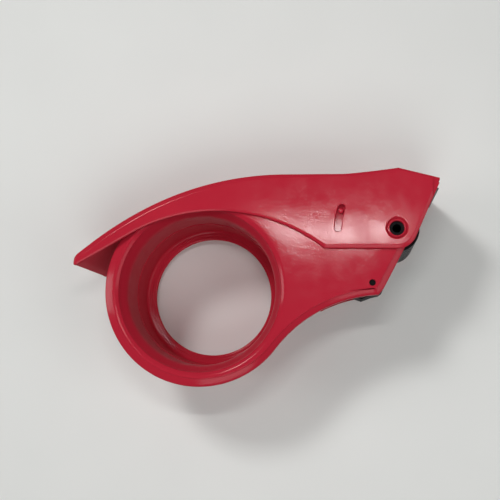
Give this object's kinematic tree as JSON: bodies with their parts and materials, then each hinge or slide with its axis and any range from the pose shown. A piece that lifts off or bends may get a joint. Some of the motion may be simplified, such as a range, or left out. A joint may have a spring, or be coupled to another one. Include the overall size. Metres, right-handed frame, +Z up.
{
  "type": "packing tape dispenser",
  "caption": "Hand-held packing tape dispenser with a ring hub for the roll, a swinging fishtail grip cover with a toothed blade, a pressing roller and a sprung tape tongue.",
  "frame": {"origin": "on the hub's axis, in the plane of the far side that the dispenser rests on", "axes": "+X towards the roller end, +Y towards the grip cover's roof, +Z up out of the near side"},
  "size_m": [0.1786, 0.1064, 0.058],
  "materials": {
    "red_frame": "smooth satin moulding",
    "red_cover": "smooth satin moulding",
    "black_plastic": "moulded",
    "black_rubber": "grooved rubber",
    "blade_steel": "ground",
    "zinc_steel": "zinc plated",
    "spring_steel": "drawn wire"
  },
  "bodies": {
    "frame": {"side_frame": "red_frame", "far_cheek": "red_frame", "cheek_screws": "zinc_steel", "tongue_pin": "zinc_steel", "tongue_spring": "spring_steel"},
    "cover": {"grip_cover": "red_cover", "blade": "blade_steel", "blade_screws": "zinc_steel"},
    "roller": {"roller_core": "black_plastic", "roller_sleeve": "black_rubber"},
    "tongue": {"tongue": "black_plastic"}
  },
  "joints": [
    {"name": "cover_swing", "type": "hinge", "parent": "frame", "child": "cover", "pos_m": [0.0953, 0.03, 0.029], "axis": [0, 0, -1], "range_deg": [0, 18]},
    {"name": "roller_spin", "type": "hinge", "parent": "frame", "child": "roller", "pos_m": [0.0953, 0.03, 0.029], "axis": [0, 0, 1], "continuous": true},
    {"name": "tongue_tip", "type": "hinge", "parent": "frame", "child": "tongue", "pos_m": [0.0838, 0.004, 0.027], "axis": [0, 0, -1], "range_deg": [0, 20], "stiffness_Nm_per_rad": 0.01, "springref_deg": -17.19, "deforming": ["tongue_spring"]}
  ]
}
